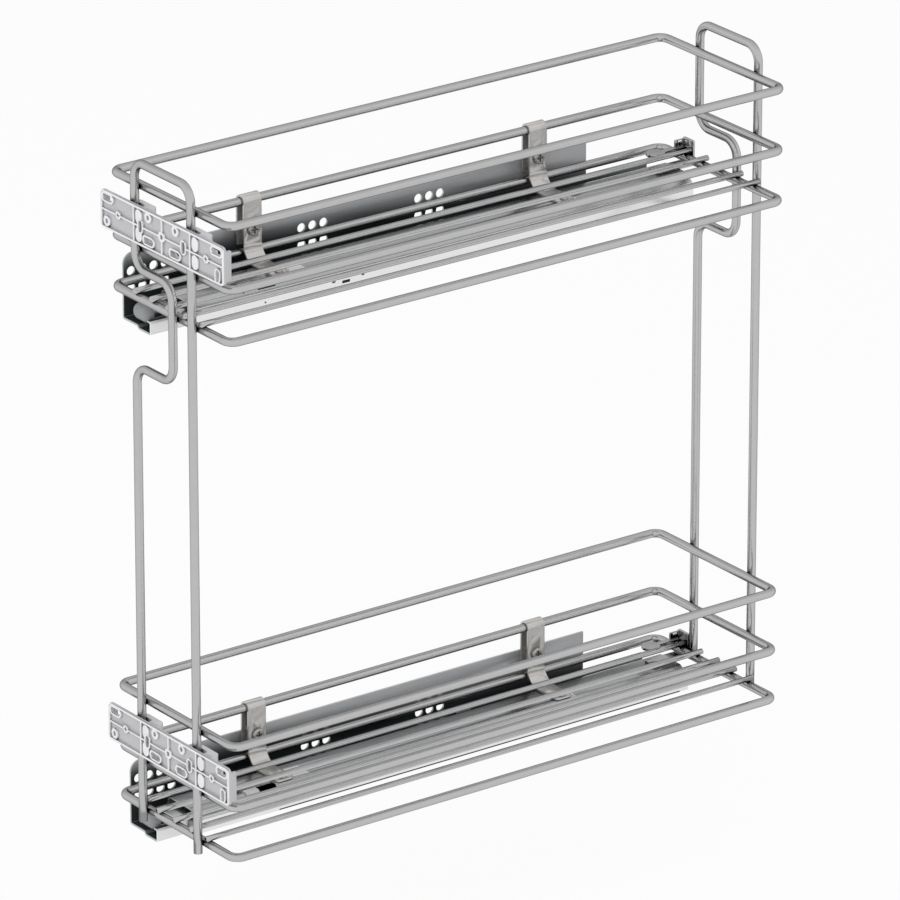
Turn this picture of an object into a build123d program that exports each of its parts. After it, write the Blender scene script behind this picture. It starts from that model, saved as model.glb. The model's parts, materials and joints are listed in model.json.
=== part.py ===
from build123d import *
import os

os.makedirs("parts", exist_ok=True)

# Pull-out detergent rack for a narrow base cabinet, in millimetres, drawn closed.
# The frame: +X runs from the cabinet's side wall across to the rack, +Y into the cabinet
# away from the door, +Z up. The origin is the first fixing hole of the lower cabinet rail,
# on the wall plane. The rack pulls out along -Y.

# Wires
wire_d = 6.0
floor_wire_d = 4.0
weld_sink = 0.1

# Baskets, over the outside of their wires
basket_width = 139.0
basket_length = 457.0
ring_corner_r = 7.0
top_ring_rise = 79.5
middle_ring_drop = 43.5
tier_pitch = 364.0
floor_wire_count = 5
floor_wire_pitch = 19.0
floor_wire_overhang = 3.3

# Wire frames that join the two baskets
upright_spacing = 64.0
crossbar_rise = 18.5
crossbar_bend_r = 11.0
front_foot_drop = 6.4
rear_foot_drop = 2.0
jog_reach = 42.0
jog_top_rise = 24.0
jog_bottom_drop = 44.5
jog_bend_r = 12.0

# Place in the cabinet
wall_to_basket = 76.0
cabinet_inner_width = 168.0
first_hole_setback = 37.0
hole_above_ring = 3.0

# Cabinet rail, a formed sheet screwed to the cabinet wall
rail_t = 1.5
rail_front_setback = 13.0
rail_length = 432.0
rail_width = 33.0
rail_depth = 29.7
flange_rise = 16.0
flange_length = 380.0
flange_corner_r = 8.0
low_wall_drop = 13.0
floor_step = 2.0
floor_step_x = 18.0
lip_top_drop = 22.0
lip_return = 4.5
hole_d = 6.4
hole_row_pitch = 12.0
hole_pitch = 9.0
second_hole_run = 128.0
third_hole_run = 224.0

# Rollers between the rails
roller_d = 4.0
roller_length = 7.5
roller_play = 0.15
roller_count = 8
roller_pitch = 20.0
cage_t = 1.6
cage_width = 10.5
cage_margin = 8.0
cage_play = 0.2

# Basket rail and middle rail, formed from thinner sheet
slide_t = 1.2
basket_rail_x = 19.0
basket_rail_width = 36.0
basket_rail_drop = 6.0
basket_rail_setback = 30.0
basket_rail_rear_inset = 7.0
basket_wall_drop = 22.0
basket_left_drop = 13.8
basket_left_r = 5.5
shoulder_run = 7.9
shoulder_drop = 5.9
middle_rail_setback = 20.0
middle_rail_length = 400.0
middle_web_gap = 1.8
middle_leg_gap = 5.6
middle_leg_bottom = 20.0
middle_capture = 1.0
sheet_bend_r = 1.4

# Latch block that shows in a window of the basket rail, in front of its first strap
window_x = 42.0
window_width = 10.0
window_run = 43.5
window_length = 26.0
latch_setback = 1.8
latch_length = 10.7
latch_lip = 1.2
latch_play = 0.3
latch_top_drop = 0.5
latch_depth = 4.9

# Plastic nose on the middle rail and cap on the basket rail
nose_width = 18.5
nose_height = 11.6
nose_reach = 6.2
nose_x = 8.5
nose_base_drop = 26.8
nose_tail = 24.0
nose_tip_land = 1.6
nose_flat = 0.4
nose_tail_inset = 2.0
nose_tail_rise = 1.0
nose_tail_height = 8.6
seat_gap = 0.2
cap_width = 12.0
cap_reach = 2.5
cap_edge_r = 0.8
cap_base_rise = 1.0

# Soft-close unit that lies in the cabinet rail
damper_front = 233.0
damper_length = 152.0
damper_width = 12.0
damper_height = 10.0
damper_wall = 1.6
cylinder_d = 7.0
cylinder_bore = 5.0
cylinder_length = 88.0
piston_length = 6.0
rod_d = 2.0
catch_length = 12.0
running_gap = 0.3
driver_length = 9.0
driver_d = 2.4
driver_foot = (8.0, 4.0)
driver_foot_t = 1.2
catch_cap_t = 1.8
catch_cap_margin = 1.0
catch_neck_rise = 0.5
damper_edge_r = 0.8
cylinder_chamfer = 0.6
piston_rear_gap = 2.0

# Straps that hang the basket on its rail
strap_t = 1.5
strap_width = 14.5
strap_bend_r = 12.0
strap_reach = 47.0
strap_inset = 108.0
strap_leg_bottom = 4.5
strap_screw_rise = 16.6
strap_screw_d = 4.0
strap_head_d = 9.0
strap_head_h = 2.4
rivet_x = 43.5
rivet_head_d = 5.6
rivet_shank_d = 3.2
hole_clearance = 0.15
strap_saddle_play = 0.05
strap_foot_r = 3.0
strap_screw_tip = 1.0
strap_head_r = 1.2
strap_recess = (5.0, 1.1)
strap_recess_depth = 1.4
rivet_head_h = 1.4
rivet_tail = 0.9
rivet_head_r = 1.0

# Rear hook and its arm over the basket's rear wire
hook_t = 1.5
hook_x = 28.5
hook_width = 12.0
hook_rise = 12.0
hook_foot = 30.0
hook_gap = 0.8
hook_chamfer = 1.0
lug_reach = 7.4
lug_base_rise = 6.1
lug_height = 4.7
lug_slot = (4.3, 1.2)
lug_slot_inset = 0.8
lug_slot_rise = 2.9
arm_pad_inset = 19.2
arm_pad_d = 13.4
arm_width = 4.0
arm_t = 2.3
arm_edge_r = 0.7

# Door brackets
bracket_length = 140.0
bracket_height = 26.3
bracket_drop = 8.0
bracket_front = 12.7
bracket_t = 2.5
bracket_pocket = 1.5
bracket_rim = 1.5
bracket_rib = 1.2
bracket_return = 6.4
bracket_corner_r = 3.0
bracket_end_t = 2.2
rib_pitch = 32.0
slot_length = 11.0
slot_width = 4.4
slot_rim = 1.3
slot_row_rise = 8.6
low_row_drop = 7.6
outer_slot_inset = 8.0
inner_slot_run = 15.0
boss_d = 7.2
boss_hole_d = 3.2
side_boss_run = 15.5
end_hole_inset = 7.0
access_run = 24.5
access_width = 4.0
access_length = 8.0
access_rim = 1.1
pad_width = 7.0
pad_run = 5.6
pad_rise = 1.3

# Clamps behind the door brackets
clamp_drop = 1.5
clamp_bar_height = 21.0
clamp_bar_half_length = 56.0
clamp_bar_t = 3.2
clamp_block_height = 24.9
clamp_block_side = 6.0
clamp_block_reach = 17.0
clamp_back = 1.2
clamp_corner_r = 4.0
clamp_slot_run = 5.5
clamp_wire_gap = 0.25
clamp_window_gap = 1.2
grub_d = 5.0
grub_socket_af = 2.5
grub_socket_depth = 1.6
grub_end_inset = 0.4
bracket_screw_run = 50.0
bracket_screw_d = 3.0
bracket_screw_head_d = 5.6
bracket_screw_head_h = 1.3
bracket_screw_tip = 1.0
cross_recess = (3.2, 0.8)
cross_recess_depth = 0.8

# Derived places
basket_x = wall_to_basket
bracket_x = cabinet_inner_width / 2
ring_half_width = (basket_width - wire_d) / 2
ring_half_length = (basket_length - wire_d) / 2
front_y = -first_hole_setback
rear_y = front_y + 2 * ring_half_length
strap_places = (front_y + strap_inset, rear_y - strap_inset)
middle_y = front_y + ring_half_length
far_wire_x = basket_x - ring_half_width
frame_offset = wire_d - weld_sink
front_frame_y = front_y - frame_offset
rear_frame_y = rear_y + frame_offset
left_upright_x = basket_x - upright_spacing / 2
right_upright_x = basket_x + upright_spacing / 2
middle_ring_rise = top_ring_rise - middle_ring_drop
ring_levels = {"lower": -hole_above_ring, "upper": -hole_above_ring + tier_pitch}
crossbar_z = ring_levels["upper"] + top_ring_rise + crossbar_rise
rail_y = front_y + rail_front_setback
rail_floor_top = -rail_depth - floor_step + rail_t
low_plate_z = rail_floor_top + roller_d + 2 * roller_play + slide_t / 2
top_plate_z = -basket_rail_drop - slide_t - roller_d - 2 * roller_play - slide_t / 2
basket_rail_y = front_y + basket_rail_setback
basket_rail_length = rear_y - basket_rail_rear_inset - basket_rail_y
middle_rail_y = front_y + middle_rail_setback
web_x = basket_rail_x + slide_t + middle_web_gap + slide_t / 2
leg_x = basket_rail_x + basket_rail_width - slide_t - middle_leg_gap - slide_t / 2
plate_end_x = rail_width - lip_return + middle_capture
strap_screw_x = far_wire_x + wire_d / 2 + hole_clearance + strap_t
bracket_rise = top_ring_rise - bracket_drop - bracket_height
outer_slot_run = bracket_length / 2 - outer_slot_inset
end_hole_run = bracket_length / 2 - end_hole_inset


def section_plane(y, z):
    """Upright plane across the runner: local x is X, local y is Z, and -amount goes to +Y."""
    return Plane(origin=(0, y, z), x_dir=(1, 0, 0), z_dir=(0, -1, 0))


def wall_plane(x, z):
    """Plane along the cabinet wall: local x is Y and local y is Z, normal +X."""
    return Plane(origin=(x, 0, z), x_dir=(0, 1, 0), z_dir=(1, 0, 0))


def sheet_section(points, radii, thickness, plane):
    """Cross-section of a bent sheet from its middle line."""
    with BuildSketch(plane) as section:
        with BuildLine():
            FilletPolyline(*points, radius=radii)
        trace(line_width=thickness)
    return section.sketch


# Wire pieces
def basket_ring(ring_z):
    with BuildPart() as ring:
        with BuildLine(Plane(origin=(basket_x, middle_y, ring_z))) as route:
            FilletPolyline(
                (0, -ring_half_length),
                (ring_half_width, -ring_half_length),
                (ring_half_width, ring_half_length),
                (0, ring_half_length),
                radius=ring_corner_r,
            )
        with BuildSketch(Plane(origin=(basket_x, front_y, ring_z), z_dir=(1, 0, 0))):
            Circle(wire_d / 2)
        sweep(path=route.line)
        mirror(about=Plane.YZ.offset(basket_x))
    return ring.part


def floor_wires(ring_z):
    start_y = front_y - floor_wire_overhang
    length = 2 * (ring_half_length + floor_wire_overhang)
    rest_z = ring_z + (wire_d + floor_wire_d) / 2 - weld_sink
    with BuildPart() as wires:
        with BuildSketch(section_plane(start_y, rest_z)):
            with Locations((basket_x, 0)):
                with GridLocations(floor_wire_pitch, 0, floor_wire_count, 1):
                    Circle(floor_wire_d / 2)
        extrude(amount=-length)
    return wires.part


def wire_frame(frame_y, foot_drop):
    """One bent wire across the rack, whose left side steps round the upper runner."""
    foot_z = ring_levels["lower"] - foot_drop
    jog_x = left_upright_x + jog_reach
    jog_low_z = ring_levels["upper"] - jog_bottom_drop
    jog_high_z = ring_levels["upper"] + jog_top_rise
    with BuildPart() as frame:
        with BuildLine(section_plane(frame_y, 0)) as route:
            FilletPolyline(
                (left_upright_x, foot_z),
                (left_upright_x, jog_low_z),
                (jog_x, jog_low_z),
                (jog_x, jog_high_z),
                (left_upright_x, jog_high_z),
                (left_upright_x, crossbar_z),
                (right_upright_x, crossbar_z),
                (right_upright_x, foot_z),
                radius=[jog_bend_r] * 4 + [crossbar_bend_r] * 2,
            )
        with BuildSketch(Plane.XY.offset(foot_z)):
            with Locations((left_upright_x, frame_y)):
                Circle(wire_d / 2)
        sweep(path=route.line)
    return frame.part


# Runner pieces
def cabinet_rail(ring_z):
    wall_mid = rail_t / 2
    floor_mid = -rail_depth + rail_t / 2
    low_floor_mid = floor_mid - floor_step
    lip_mid = rail_width - rail_t / 2
    points = [
        (wall_mid, flange_rise),
        (wall_mid, floor_mid),
        (floor_step_x - floor_step / 2, floor_mid),
        (floor_step_x + floor_step / 2, low_floor_mid),
        (lip_mid, low_floor_mid),
        (lip_mid, -lip_top_drop - rail_t / 2),
        (rail_width - lip_return, -lip_top_drop - rail_t / 2),
    ]
    radii = [sheet_bend_r, floor_step / 2, floor_step / 2, sheet_bend_r, sheet_bend_r]
    rear_cut = rail_length - flange_length
    cut_height = flange_rise + low_wall_drop
    with BuildPart() as rail:
        extrude(sheet_section(points, radii, rail_t, section_plane(rail_y, ring_z)), amount=-rail_length)
        with BuildSketch(wall_plane(-rail_t, ring_z)):
            with Locations((rail_y + rail_length, flange_rise)):
                Rectangle(2 * rear_cut, 2 * cut_height)
        extrude(amount=3 * rail_t, mode=Mode.SUBTRACT)
        front_corner = rail.edges().filter_by(Axis.X).group_by(Axis.Z)[-1].sort_by(Axis.Y)[0]
        fillet(front_corner, flange_corner_r)
        with BuildSketch(wall_plane(-rail_t, ring_z + hole_above_ring - hole_row_pitch / 2)):
            with Locations((0, 0)):
                with GridLocations(hole_pitch, hole_row_pitch, 3, 2):
                    Circle(hole_d / 2)
            with Locations((-2 * hole_pitch, 0)):
                with GridLocations(0, hole_row_pitch, 1, 2):
                    Circle(hole_d / 2)
            with Locations((second_hole_run, 0), (third_hole_run, 0)):
                with GridLocations(hole_pitch, hole_row_pitch, 3, 2):
                    Circle(hole_d / 2)
        extrude(amount=3 * rail_t, mode=Mode.SUBTRACT)
    return rail.part


def middle_rail(ring_z):
    points = [
        (plate_end_x, low_plate_z),
        (web_x, low_plate_z),
        (web_x, top_plate_z),
        (leg_x, top_plate_z),
        (leg_x, -middle_leg_bottom),
    ]
    plane = section_plane(middle_rail_y, ring_z)
    with BuildPart() as rail:
        extrude(sheet_section(points, sheet_bend_r, slide_t, plane), amount=-middle_rail_length)
    return rail.part


def basket_rail(ring_z):
    right_mid = basket_rail_x + basket_rail_width - slide_t / 2
    left_mid = basket_rail_x + slide_t / 2
    top_mid = -basket_rail_drop - slide_t / 2
    points = [
        (right_mid, -basket_wall_drop),
        (right_mid, top_mid - shoulder_drop),
        (right_mid - shoulder_run, top_mid),
        (left_mid, top_mid),
        (left_mid, -basket_left_drop),
    ]
    radii = [2 * sheet_bend_r, 3 * sheet_bend_r, basket_left_r]
    plane = section_plane(basket_rail_y, ring_z)
    with BuildPart() as rail:
        extrude(sheet_section(points, radii, slide_t, plane), amount=-basket_rail_length)
        with BuildSketch(Plane.XY.offset(ring_z - basket_rail_drop)):
            with Locations(*[(rivet_x, place) for place in strap_places]):
                Circle(rivet_shank_d / 2 + hole_clearance)
        extrude(amount=-2 * slide_t, mode=Mode.SUBTRACT)
        with BuildSketch(Plane.XY.offset(ring_z - basket_rail_drop)):
            with Locations((window_x, basket_rail_y + window_run)):
                Rectangle(window_width, window_length, align=(Align.MIN, Align.MIN))
        extrude(amount=-shoulder_drop - 2 * slide_t, mode=Mode.SUBTRACT)
    return rail.part


def front_latch(ring_z):
    """Block that hangs under the rail's top and fills the front part of the window."""
    top = -basket_rail_drop
    left = window_x + latch_play
    right = window_x + window_width - latch_play
    shoulder_x = basket_rail_x + basket_rail_width - slide_t / 2 - shoulder_run
    slope_drop = (right - shoulder_x) * shoulder_drop / shoulder_run
    with BuildPart() as latch:
        with BuildSketch(section_plane(basket_rail_y + window_run + latch_setback, ring_z)):
            with BuildLine():
                Polyline(
                    (window_x - latch_lip, top - slide_t),
                    (window_x - latch_lip, top - latch_depth),
                    (right, top - latch_depth),
                    (right, top - latch_top_drop - slope_drop),
                    (shoulder_x, top - latch_top_drop),
                    (left, top - latch_top_drop),
                    (left, top - slide_t),
                    close=True,
                )
            make_face()
        extrude(amount=-latch_length)
    return latch.part


def roller_group(ring_z, x, z, first_y):
    with BuildPart() as rollers:
        with BuildSketch(wall_plane(x - roller_length / 2, ring_z + z)):
            with Locations(*[(first_y + i * roller_pitch, 0) for i in range(roller_count)]):
                Circle(roller_d / 2)
        extrude(amount=roller_length)
    return rollers.part


def roller_cage(ring_z, x, z, first_y):
    span = (roller_count - 1) * roller_pitch
    with BuildPart() as cage:
        with BuildSketch(Plane(origin=(x, first_y + span / 2, ring_z + z - cage_t / 2))):
            RectangleRounded(cage_width, span + 2 * cage_margin, cage_t)
            with GridLocations(0, roller_pitch, 1, roller_count):
                window = (roller_length + 2 * cage_play, roller_d + 2 * cage_play)
                Rectangle(*window, mode=Mode.SUBTRACT)
        extrude(amount=cage_t)
    return cage.part


def rail_nose(ring_z):
    """Plastic nose on the front end of the middle rail, with a tail beside its web."""
    back_y = middle_rail_y - seat_gap
    mid_z = -nose_base_drop + nose_height / 2
    tail_right = web_x - slide_t / 2 - seat_gap
    with BuildPart() as nose:
        with BuildSketch(section_plane(back_y, ring_z)):
            with Locations((nose_x + nose_width / 2, mid_z)):
                RectangleRounded(nose_width, nose_height, (nose_height - nose_flat) / 2)
        extrude(amount=nose_reach)
        fillet(nose.faces().sort_by(Axis.Y)[0].edges(), nose_reach - nose_tip_land)
        with BuildSketch(section_plane(back_y, ring_z)):
            with Locations((nose_x + nose_tail_inset, -nose_base_drop + nose_tail_rise)):
                tail_width = tail_right - nose_x - nose_tail_inset
                Rectangle(tail_width, nose_tail_height, align=(Align.MIN, Align.MIN))
        extrude(amount=-nose_tail)
    return nose.part


def basket_rail_cap(ring_z):
    """Plastic cap that closes the front end of the basket rail beside its outer wall."""
    right = basket_rail_x + basket_rail_width - slide_t - seat_gap
    top = -basket_rail_drop - slide_t - shoulder_drop - seat_gap
    with BuildPart() as cap:
        with BuildSketch(section_plane(basket_rail_y - cap_reach, ring_z)):
            with Locations((right, cap_base_rise - basket_wall_drop)):
                height = top + basket_wall_drop - cap_base_rise
                Rectangle(middle_leg_gap - 2 * seat_gap, height, align=(Align.MAX, Align.MIN))
        extrude(amount=-cap_width)
        fillet(cap.edges().filter_by(Axis.Y), cap_edge_r)
    return cap.part


# Soft-close unit
damper_y = front_y + damper_front
damper_x = rail_t + seat_gap
damper_floor_z = -rail_depth + rail_t + seat_gap
cylinder_x = damper_x + damper_width / 2
cylinder_z = damper_floor_z + damper_wall + running_gap + cylinder_d / 2
cylinder_rear_y = damper_y + damper_length - damper_wall - seat_gap
cylinder_front_y = cylinder_rear_y - cylinder_length
catch_rear_y = cylinder_front_y - 2 * running_gap
catch_front_y = catch_rear_y - catch_length


def damper_housing(ring_z):
    with BuildPart() as housing:
        with BuildSketch(section_plane(damper_y, ring_z + damper_floor_z)):
            with Locations((damper_x, 0)):
                Rectangle(damper_width, damper_height, align=(Align.MIN, Align.MIN))
        extrude(amount=-damper_length)
        fillet(housing.edges().filter_by(Axis.Y), damper_edge_r)
        with BuildSketch(section_plane(damper_y + damper_wall, ring_z + damper_floor_z + damper_wall)):
            with Locations((cylinder_x, 0)):
                inner = damper_width - 2 * damper_wall
                Rectangle(inner, damper_height, align=(Align.CENTER, Align.MIN))
        extrude(amount=-(damper_length - 2 * damper_wall), mode=Mode.SUBTRACT)
    return housing.part


def damper_cylinder(ring_z):
    with BuildPart() as cylinder:
        with BuildSketch(section_plane(cylinder_front_y, ring_z)):
            with Locations((cylinder_x, cylinder_z)):
                Circle(cylinder_d / 2)
        extrude(amount=-cylinder_length)
        chamfer(cylinder.faces().sort_by(Axis.Y)[-1].edges(), cylinder_chamfer)
        with BuildSketch(section_plane(cylinder_front_y, ring_z)):
            with Locations((cylinder_x, cylinder_z)):
                Circle(cylinder_bore / 2)
        extrude(amount=-(cylinder_length - damper_wall), mode=Mode.SUBTRACT)
    return cylinder.part


def damper_rod(ring_z):
    """Piston rod: its piston lies near the cylinder's closed end while the rack is shut."""
    piston_rear = cylinder_rear_y - damper_wall - piston_rear_gap
    with BuildPart() as rod:
        with BuildSketch(section_plane(catch_rear_y, ring_z)):
            with Locations((cylinder_x, cylinder_z)):
                Circle(rod_d / 2)
        extrude(amount=-(piston_rear - catch_rear_y))
        with BuildSketch(section_plane(piston_rear - piston_length, ring_z)):
            with Locations((cylinder_x, cylinder_z)):
                Circle(cylinder_bore / 2 - hole_clearance)
        extrude(amount=-piston_length)
    return rod.part


def damper_catch(ring_z):
    """Slider that the basket rail's driver pin carries over the last stretch of closing."""
    body_width = damper_width - 2 * damper_wall - 2 * running_gap
    body_base = damper_floor_z + damper_wall + running_gap
    rim_z = damper_floor_z + damper_height
    with BuildPart() as catch:
        with BuildSketch(section_plane(catch_front_y, ring_z)):
            with Locations((cylinder_x, body_base)):
                Rectangle(body_width, rim_z - body_base + catch_neck_rise, align=(Align.CENTER, Align.MIN))
        extrude(amount=-catch_length)
        with BuildSketch(section_plane(catch_front_y, ring_z)):
            with Locations((cylinder_x, rim_z + running_gap)):
                cap_size = (damper_width - 2 * catch_cap_margin, catch_cap_t)
                Rectangle(*cap_size, align=(Align.CENTER, Align.MIN))
        extrude(amount=-catch_length)
        chamfer(catch.faces().sort_by(Axis.Z)[-1].edges().filter_by(Axis.X), catch_cap_t / 3)
    return catch.part


def driver_pin(ring_z):
    """Pin on the basket rail's inner wall that reaches over the closed catch."""
    driver_y = (catch_front_y + catch_rear_y) / 2
    pin_z = damper_floor_z + damper_height + catch_cap_t + 2 * running_gap + driver_d / 2
    with BuildPart() as pin:
        with BuildSketch(wall_plane(basket_rail_x - driver_length, ring_z + pin_z)):
            with Locations((driver_y, 0)):
                Circle(driver_d / 2)
        extrude(amount=driver_length)
        with BuildSketch(wall_plane(basket_rail_x - driver_foot_t, ring_z + pin_z)):
            with Locations((driver_y, 0)):
                RectangleRounded(*driver_foot, driver_foot_t)
        extrude(amount=driver_foot_t)
    return pin.part


# Straps and their fasteners
def strap(ring_z, centre_y):
    leg_offset = wire_d / 2 + hole_clearance + strap_t / 2
    saddle_top = middle_ring_rise + leg_offset
    foot_z = -basket_rail_drop + strap_t / 2
    points = [
        (far_wire_x - leg_offset, strap_leg_bottom),
        (far_wire_x - leg_offset, saddle_top),
        (far_wire_x + leg_offset, saddle_top),
        (far_wire_x + leg_offset, foot_z),
        (strap_reach, foot_z),
    ]
    saddle_r = leg_offset - strap_saddle_play
    radii = [saddle_r, saddle_r, strap_bend_r]
    start_y = centre_y - strap_width / 2
    with BuildPart() as saddle:
        extrude(
            sheet_section(points, radii, strap_t, section_plane(start_y, ring_z)),
            amount=-strap_width,
        )
        foot_corners = saddle.edges().filter_by(Axis.Z).group_by(Axis.X)[-1]
        fillet(foot_corners, strap_foot_r)
        with BuildSketch(wall_plane(0, ring_z + strap_screw_rise)):
            with Locations((centre_y, 0)):
                Circle(strap_screw_d / 2 + hole_clearance)
        extrude(amount=strap_screw_x, mode=Mode.SUBTRACT)
        with BuildSketch(Plane.XY.offset(ring_z - basket_rail_drop)):
            with Locations((rivet_x, centre_y)):
                Circle(rivet_shank_d / 2 + hole_clearance)
        extrude(amount=2 * strap_t, mode=Mode.SUBTRACT)
    return saddle.part


def strap_screws(ring_z):
    """Cross-recessed screws that close each strap under the middle ring's wire."""
    shank_end = far_wire_x - wire_d / 2 - strap_t - strap_screw_tip
    with BuildPart() as screws:
        for centre_y in strap_places:
            spot = (centre_y, 0)
            with BuildSketch(wall_plane(strap_screw_x, ring_z + strap_screw_rise)):
                with Locations(spot):
                    Circle(strap_head_d / 2)
            extrude(amount=strap_head_h)
            with BuildSketch(wall_plane(shank_end, ring_z + strap_screw_rise)):
                with Locations(spot):
                    Circle(strap_screw_d / 2)
            extrude(amount=strap_screw_x - shank_end)
        rims = screws.faces().group_by(Axis.X)[-1].edges()
        fillet(rims, strap_head_r)
        for centre_y in strap_places:
            face_plane = wall_plane(strap_screw_x + strap_head_h, ring_z + strap_screw_rise)
            with BuildSketch(face_plane):
                with Locations((centre_y, 0)):
                    Rectangle(*strap_recess)
                    Rectangle(*reversed(strap_recess))
            extrude(amount=-strap_recess_depth, mode=Mode.SUBTRACT)
    return screws.part


def foot_rivets(ring_z):
    with BuildPart() as rivets:
        for centre_y in strap_places:
            spot = (rivet_x, centre_y)
            with BuildSketch(Plane.XY.offset(ring_z - basket_rail_drop + strap_t)):
                with Locations(spot):
                    Circle(rivet_head_d / 2)
            extrude(amount=rivet_head_h)
            with BuildSketch(Plane.XY.offset(ring_z - basket_rail_drop - slide_t - rivet_tail)):
                with Locations(spot):
                    Circle(rivet_shank_d / 2)
            extrude(amount=strap_t + slide_t + rivet_tail)
        fillet(rivets.faces().group_by(Axis.Z)[-1].edges(), rivet_head_r)
    return rivets.part


# Rear hook
def rear_hook(ring_z):
    plate_y = rear_y + wire_d / 2 + hook_gap
    foot_top = ring_z - basket_rail_drop + hook_t
    plate_top = ring_z + hook_rise
    with BuildPart() as hook:
        with BuildSketch(Plane.XY.offset(foot_top - hook_t)):
            with Locations((hook_x, plate_y + hook_t)):
                Rectangle(hook_width, hook_foot, align=(Align.MIN, Align.MAX))
        extrude(amount=hook_t)
        with BuildSketch(section_plane(plate_y, foot_top - hook_t)):
            with Locations((hook_x, 0)):
                height = plate_top - foot_top + hook_t
                Rectangle(hook_width, height, align=(Align.MIN, Align.MIN))
        extrude(amount=-hook_t)
        with BuildSketch(wall_plane(hook_x, ring_z + lug_base_rise)):
            with Locations((plate_y, 0)):
                Rectangle(lug_reach, lug_height, align=(Align.MAX, Align.MIN))
            with Locations((plate_y - lug_slot_inset, lug_slot_rise)):
                Rectangle(*lug_slot, align=(Align.MAX, Align.MIN), mode=Mode.SUBTRACT)
        extrude(amount=hook_t)
        top_corners = hook.edges().filter_by(Axis.Y).group_by(Axis.Z)[-1]
        chamfer(top_corners, hook_chamfer)
    return hook.part


def hook_arm(ring_z):
    """Flat arm on the rear hook that lies over the basket's rear wire and ends in a round pad."""
    plate_y = rear_y + wire_d / 2 + hook_gap
    pad_y = rear_y - arm_pad_inset
    with BuildPart() as arm:
        with BuildSketch(Plane.XY.offset(ring_z + wire_d / 2 + seat_gap)):
            with Locations((hook_x, pad_y)):
                Circle(arm_pad_d / 2)
                Rectangle(arm_width, plate_y - pad_y, align=(Align.CENTER, Align.MIN))
        extrude(amount=arm_t)
        fillet(arm.faces().sort_by(Axis.Z)[-1].edges(), arm_edge_r)
    return arm.part


# Door brackets
def door_bracket(ring_z):
    """Die-cast plate that the door is screwed to, ribbed on its front."""
    mid_z = ring_z + bracket_rise + bracket_height / 2
    front = front_y - bracket_front
    plane = Plane(origin=(bracket_x, front, mid_z), x_dir=(1, 0, 0), z_dir=(0, -1, 0))
    floor_plane = plane.offset(-bracket_pocket)
    slots = [(side * outer_slot_run, slot_row_rise) for side in (-1, 1)]
    slots += [(side * inner_slot_run, -low_row_drop) for side in (-1, 1)]
    holes = [(side * side_boss_run, slot_row_rise) for side in (-1, 1)]
    holes += [(0, 0), (-end_hole_run, -low_row_drop)]
    upright_slots = [(-access_run, 0), (access_run, 0), (end_hole_run, -low_row_drop)]
    with BuildPart() as bracket:
        with BuildSketch(plane):
            RectangleRounded(bracket_length, bracket_height, bracket_corner_r)
        extrude(amount=-bracket_t)
        with BuildSketch(plane):
            inner_length = bracket_length - 2 * bracket_rim
            inner_height = bracket_height - 2 * bracket_rim
            RectangleRounded(inner_length, inner_height, bracket_corner_r - bracket_rim)
        extrude(amount=-bracket_pocket, mode=Mode.SUBTRACT)
        with BuildSketch(floor_plane):
            Rectangle(bracket_length - bracket_rim, bracket_rib)
            with GridLocations(rib_pitch, 0, 3, 1):
                Rectangle(bracket_rib, bracket_height - bracket_rim)
            with Locations(*holes):
                Circle(boss_d / 2)
            with Locations(*slots):
                SlotOverall(slot_length + 2 * slot_rim, slot_width + 2 * slot_rim)
            with Locations(*upright_slots):
                SlotOverall(access_length + 2 * access_rim, access_width + 2 * access_rim, rotation=90)
            RectangleRounded(bracket_length, bracket_height, bracket_corner_r, mode=Mode.INTERSECT)
        extrude(amount=bracket_pocket)
        with BuildSketch(floor_plane):
            pad_height = (bracket_height - bracket_rib) / 2 - bracket_rim - bracket_rib
            pad_z = (bracket_height + bracket_rib) / 4 - bracket_rim / 2
            for rib_x in (-rib_pitch, rib_pitch):
                with Locations((rib_x + pad_run, pad_z), (rib_x + pad_run, -pad_z)):
                    SlotOverall(pad_height, pad_width, rotation=90)
        extrude(amount=pad_rise)
        with BuildSketch(plane.offset(-bracket_return)):
            with GridLocations(bracket_length - bracket_end_t, 0, 2, 1):
                Rectangle(bracket_end_t, bracket_height - 2 * bracket_corner_r)
        extrude(amount=bracket_return - bracket_pocket)
        with BuildSketch(plane):
            with Locations(*slots):
                SlotOverall(slot_length, slot_width)
            with Locations(*holes):
                Circle(boss_hole_d / 2)
            with Locations(*upright_slots):
                SlotOverall(access_length, access_width, rotation=90)
        extrude(amount=-bracket_t, mode=Mode.SUBTRACT)
        with BuildSketch(floor_plane):
            with GridLocations(2 * bracket_screw_run, 0, 2, 1):
                Circle(bracket_screw_head_d / 2 + hole_clearance)
        extrude(amount=bracket_pocket, mode=Mode.SUBTRACT)
        with BuildSketch(floor_plane):
            with GridLocations(2 * bracket_screw_run, 0, 2, 1):
                Circle(bracket_screw_d / 2 + hole_clearance)
        extrude(amount=bracket_pocket - bracket_t, mode=Mode.SUBTRACT)
    return bracket.part


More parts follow.
